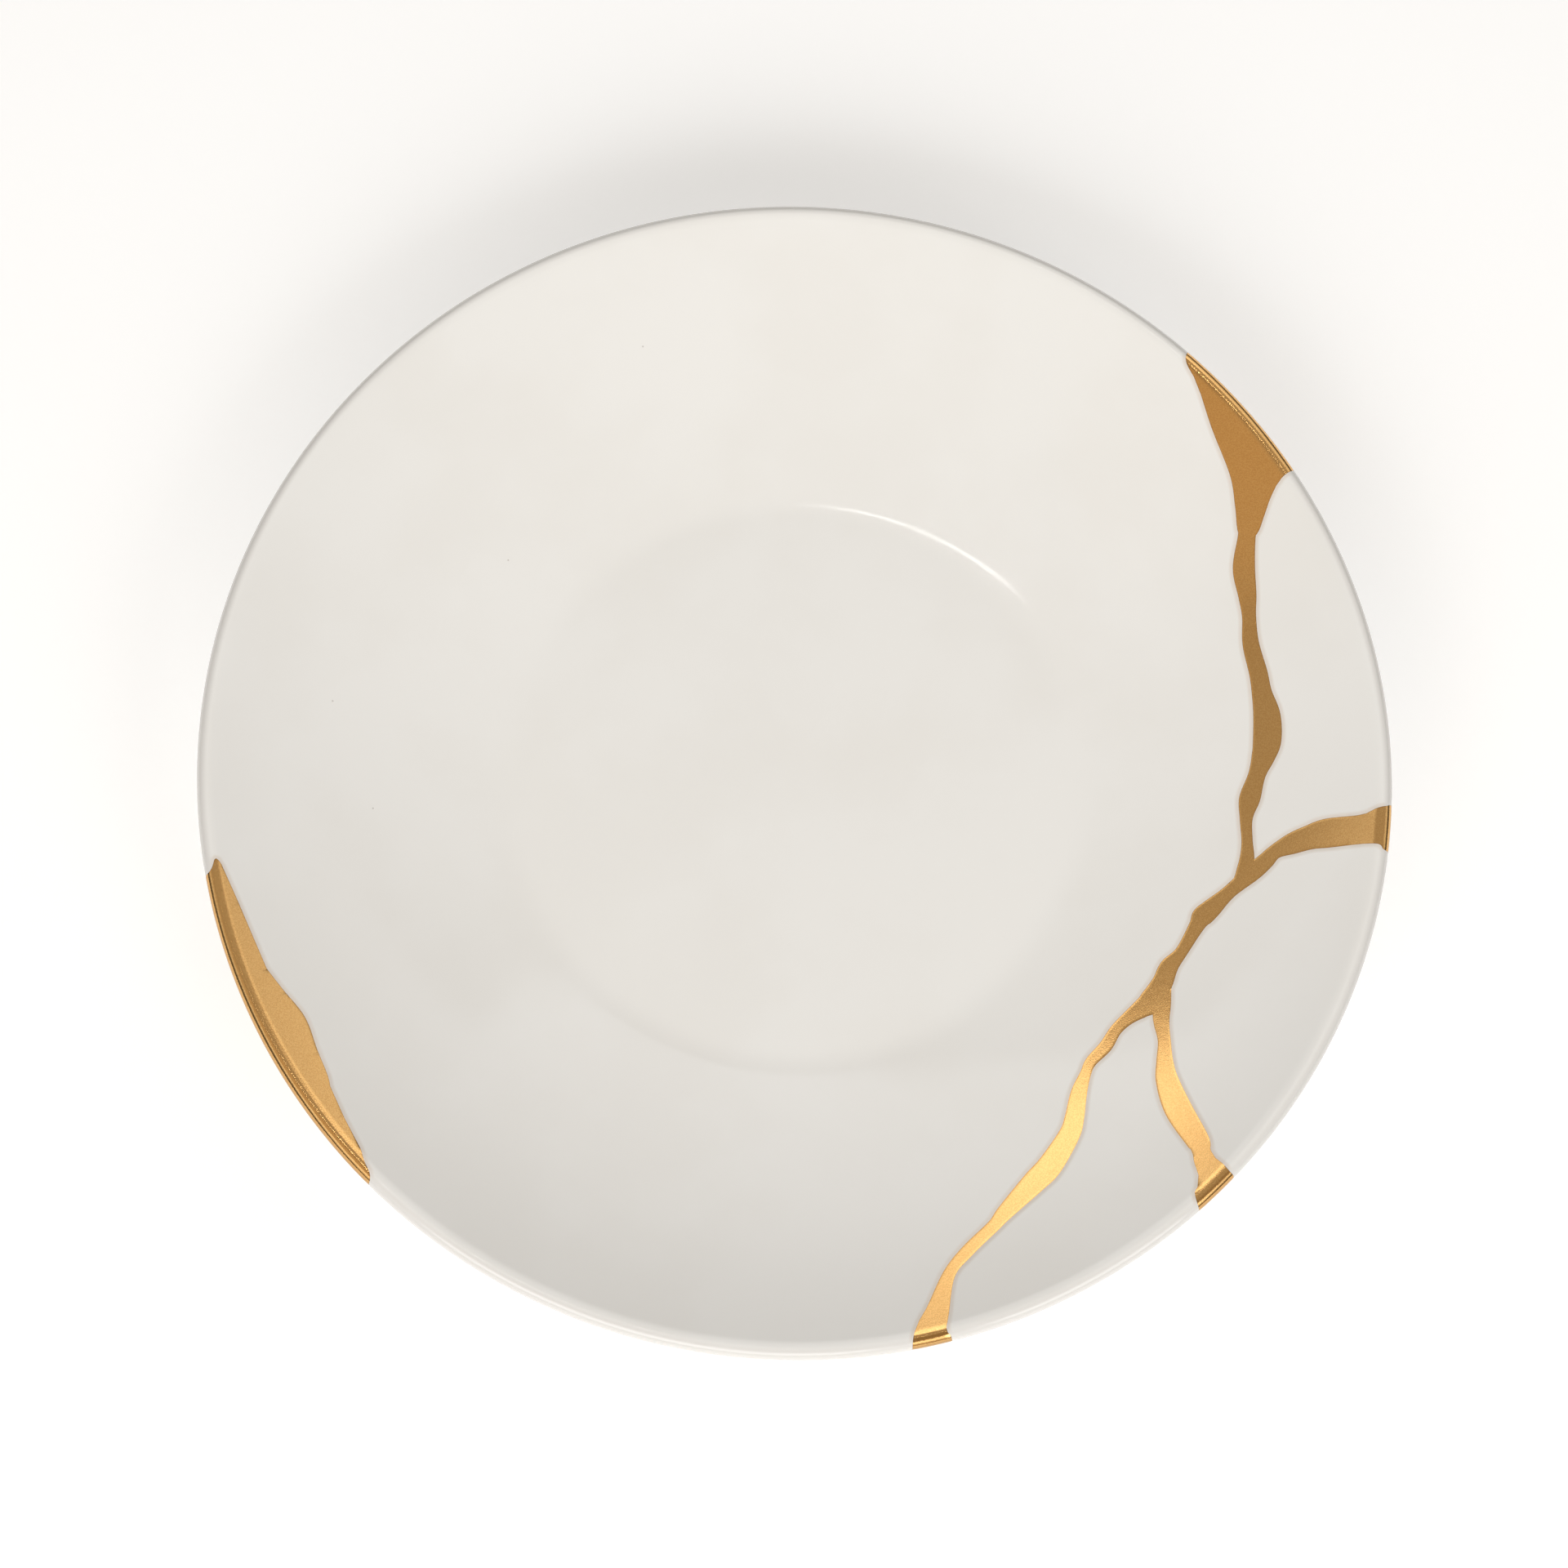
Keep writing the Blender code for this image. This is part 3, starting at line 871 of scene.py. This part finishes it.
def floor_material():
    """Plain near-white floor."""
    material, nodes, shader, spot = new_material("floor")
    shade = nodes.mix(nodes.noise(spot, scale=6.0, detail=3.0), *FLOOR_SHADES)
    material.node_tree.links.new(shade, shader.inputs["Base Color"])
    shader.inputs["Roughness"].default_value = 0.9
    shader.inputs["Specular IOR Level"].default_value = 0.1
    shader.inputs["Emission Color"].default_value = (1.0, 1.0, 1.0, 1.0)
    shader.inputs["Emission Strength"].default_value = 0.25
    return material


def make_floor():
    """Floor that the plate stands on."""
    mesh = bpy.data.meshes.new("floor")
    half = FLOOR_HALF_WIDTH
    mesh.from_pydata([(-half, -half, 0), (half, -half, 0), (half, half, 0), (-half, half, 0)],
                     [], [(0, 1, 2, 3)])
    mesh.materials.append(floor_material())
    floor = bpy.data.objects.new("floor", mesh)
    bpy.context.scene.collection.objects.link(floor)


def add_softbox(name, azimuth, elevation, distance, width, height, power):
    """Rectangular light that faces the plate. Azimuth 0 is in front, 90 to the right."""
    data = bpy.data.lights.new(name, 'AREA')
    data.shape = 'RECTANGLE'
    data.size = width
    data.size_y = height
    data.energy = power
    turn, rise = math.radians(azimuth), math.radians(elevation)
    back = Vector((math.sin(turn) * math.cos(rise), -math.cos(turn) * math.cos(rise),
                   math.sin(rise)))
    light = bpy.data.objects.new(name, data)
    bpy.context.scene.collection.objects.link(light)
    light.matrix_world = (Matrix.Translation(back * distance)
                          @ back.to_track_quat('Z', 'Y').to_matrix().to_4x4())


def make_world():
    """Room around the plate: screens behind, light in front and to the west, a strip overhead."""
    world = bpy.data.worlds.new("studio")
    bpy.context.scene.world = world
    world.use_nodes = True
    nodes = Nodes(world.node_tree)
    way = nodes.add('ShaderNodeTexCoord').outputs["Generated"]

    def towards(direction):
        """How far the way seen points in a direction, from -1 to 1."""
        unit = Vector(direction).normalized()
        node = nodes.add('ShaderNodeVectorMath', {"operation": 'DOT_PRODUCT'}, _0=way, _1=unit)
        return node.outputs["Value"]

    def below_edge(azimuth, elevation):
        """1 below a screen's straight top edge, highest at an azimuth from straight behind."""
        turn, rise = math.radians(azimuth), math.tan(math.radians(elevation))
        across = towards((rise * math.sin(turn), rise * math.cos(turn), -1.0))
        return nodes.step(across, -SCREEN_SOFTNESS, SCREEN_SOFTNESS)

    def product(*values):
        """Product of several outputs."""
        result = values[0]
        for value in values[1:]:
            result = nodes.maths('MULTIPLY', result, value)
        return result

    # Screens behind, with a glow in their middle
    east = towards((1, 0, 0))
    north = towards((0, 1, 0))
    height = towards((0, 0, 1))
    ending = towards((-math.cos(MIDDLE_SCREEN_END), math.sin(MIDDLE_SCREEN_END), 0.0))
    middle = product(below_edge(*MIDDLE_SCREEN),
                     nodes.step(ending, -MIDDLE_SCREEN_END_SOFTNESS, MIDDLE_SCREEN_END_SOFTNESS))
    beside = nodes.maths('MAXIMUM', below_edge(*RIGHT_SCREEN), below_edge(*LEFT_SCREEN))
    screens = nodes.maths('MAXIMUM', middle, beside)
    glow = product(nodes.step(east, -0.62, -0.36),
                   nodes.step(east, 0.06, 0.64, low=1.0, high=0.0),
                   nodes.step(height, 0.55, 0.72, low=0.33, high=1.0),
                   nodes.step(north, 0.1, 0.4))
    bright = nodes.maths('ADD', nodes.step(height, 0.34, 0.50, *SCREEN_LIGHT), glow)

    # The rest of the room: dim, with a light in front and one to the west
    dim = nodes.step(north, -0.20, 0.15, *DIM_LIGHT)
    front = product(nodes.step(north, 0.55, -0.95, low=0.0, high=FRONT_LIGHT),
                    nodes.step(height, 0.15, 0.62, low=0.30, high=1.0),
                    nodes.step(height, 0.64, 0.74, low=1.0, high=0.0))
    west_front = product(nodes.step(east, -0.36, -0.16, low=WEST_LIGHT, high=0.0),
                         nodes.step(north, -0.04, 0.10, low=1.0, high=0.0))
    far_west = nodes.step(east, -0.66, -0.50, low=WEST_LIGHT, high=0.0)
    west = product(nodes.maths('MAXIMUM', west_front, far_west), nodes.step(height, 0.50, 0.66))
    outside = nodes.maths('MAXIMUM', nodes.maths('MAXIMUM', dim, west), front)

    # Strip overhead
    across = nodes.maths('ABSOLUTE', towards(STRIP_ACROSS))
    strip = product(nodes.step(across, *STRIP_THICKNESS, low=STRIP_LIGHT, high=0.0),
                    nodes.step(towards(STRIP_MIDDLE), *STRIP_LENGTH))

    # Sum of the parts, and their colour
    share = nodes.maths('SUBTRACT', 1.0, screens)
    level = nodes.maths('ADD', product(bright, screens), product(outside, share))
    level = nodes.maths('ADD', level, strip)
    lamps = nodes.step(nodes.maths('ADD', front, strip), 0.3, 0.7)
    room = nodes.mix(nodes.step(north, -0.20, 0.15), *ROOM_SHADES)
    colour = nodes.mix(nodes.maths('MAXIMUM', screens, lamps), room, LAMP_COLOUR)
    background = world.node_tree.nodes["Background"]
    world.node_tree.links.new(colour, background.inputs["Color"])
    world.node_tree.links.new(level, background.inputs["Strength"])


def make_light():
    """The room, and two wide soft boxes in front."""
    make_world()
    for softbox in SOFTBOXES:
        add_softbox(*softbox)


def make_camera():
    """Camera at the photograph's place, turned a little about its own line of sight."""
    ahead = Vector((0.0, math.cos(CAMERA_TILT), -math.sin(CAMERA_TILT)))
    right = Vector((1.0, 0.0, 0.0))
    up = right.cross(ahead)
    side = math.cos(CAMERA_ROLL) * right + math.sin(CAMERA_ROLL) * up
    top = -math.sin(CAMERA_ROLL) * right + math.cos(CAMERA_ROLL) * up
    data = bpy.data.cameras.new("camera")
    data.lens = FOCAL_LENGTH
    data.sensor_width = SENSOR_WIDTH
    data.clip_start = NEAREST_SEEN
    camera = bpy.data.objects.new("camera", data)
    bpy.context.scene.collection.objects.link(camera)
    axes = Matrix((side, top, -ahead)).transposed()
    camera.matrix_world = Matrix.Translation(Vector(CAMERA_PLACE) * MM) @ axes.to_4x4()
    bpy.context.scene.camera = camera


def make_plate():
    """The glazed plate and its gold."""
    outlines = [layout(crack_outline(crack))
                for crack in (MAIN_CRACK, UPPER_CRACK, LOWER_CRACK)]
    outlines += [layout(chip_outline(chip)) for chip in (UPPER_CHIP, LEFT_CHIP)]
    sheet = Sheet(outlines)
    edges = nearest_edge(sheet)
    gold = [face for face, is_gold in zip(sheet.triangles, sheet.gold) if is_gold]
    plain = [face for face, is_gold in zip(sheet.triangles, sheet.gold) if not is_gold]
    left = [face for face in gold if sheet.points[face[0]].x < 0]
    right = [face for face in gold if sheet.points[face[0]].x >= 0]
    plate = Builder("glazed_plate")
    add_layer(plate, sheet, edges, plain, "glaze")
    add_layer(plate, sheet, edges, gold, BED_DEPTH)
    add_wall(plate, sheet, edges, gold, "glaze", BED_DEPTH, True)
    add_underside(plate, sheet, edges)
    plate.piece(["porcelain_plate"], glaze_material())
    leaf = gold_material()
    for name, node, faces in (("gold_seams_leaf", "gold_seams", right),
                              ("gold_rim_leaf", "gold_rim_fill", left)):
        builder = Builder(name)
        add_layer(builder, sheet, edges, faces, "gold")
        add_layer(builder, sheet, edges, faces, GOLD_THICKNESS, True)
        add_wall(builder, sheet, edges, faces, "gold", GOLD_THICKNESS, False)
        builder.piece([node], leaf)


make_camera()
make_floor()
make_light()
make_plate()
bpy.context.scene.view_settings.view_transform = 'Standard'
